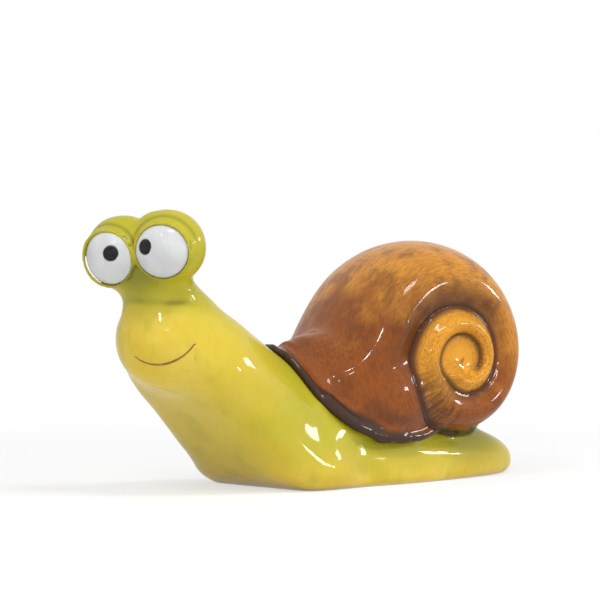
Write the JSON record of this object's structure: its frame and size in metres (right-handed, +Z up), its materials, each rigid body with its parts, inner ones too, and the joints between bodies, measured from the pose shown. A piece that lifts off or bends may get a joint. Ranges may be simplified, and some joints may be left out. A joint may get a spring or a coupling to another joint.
{
  "type": "snail figurine",
  "caption": "Glazed ceramic snail ornament with a raised, turned head, bulging eyes on top, a thin smile and a coiled shell seated on its back; it stands on a flat sole.",
  "frame": {"origin": "on the sole's flat underside, below the middle of the figure", "axes": "+Z up; +X along the foot towards the tail, so the head lies towards -X and the snail's left side towards -Y"},
  "size_m": [0.2612, 0.0915, 0.134],
  "materials": {
    "body_glaze": "gloss",
    "shell_glaze": "gloss",
    "eye_white": "gloss",
    "pupil_black": "gloss",
    "smile_brown": "gloss"
  },
  "bodies": {
    "root": {"body": "body_glaze", "shell": "shell_glaze", "left_eyeball": "eye_white", "right_eyeball": "eye_white", "left_pupil": "pupil_black", "right_pupil": "pupil_black", "smile_line": "smile_brown"}
  },
  "joints": []
}
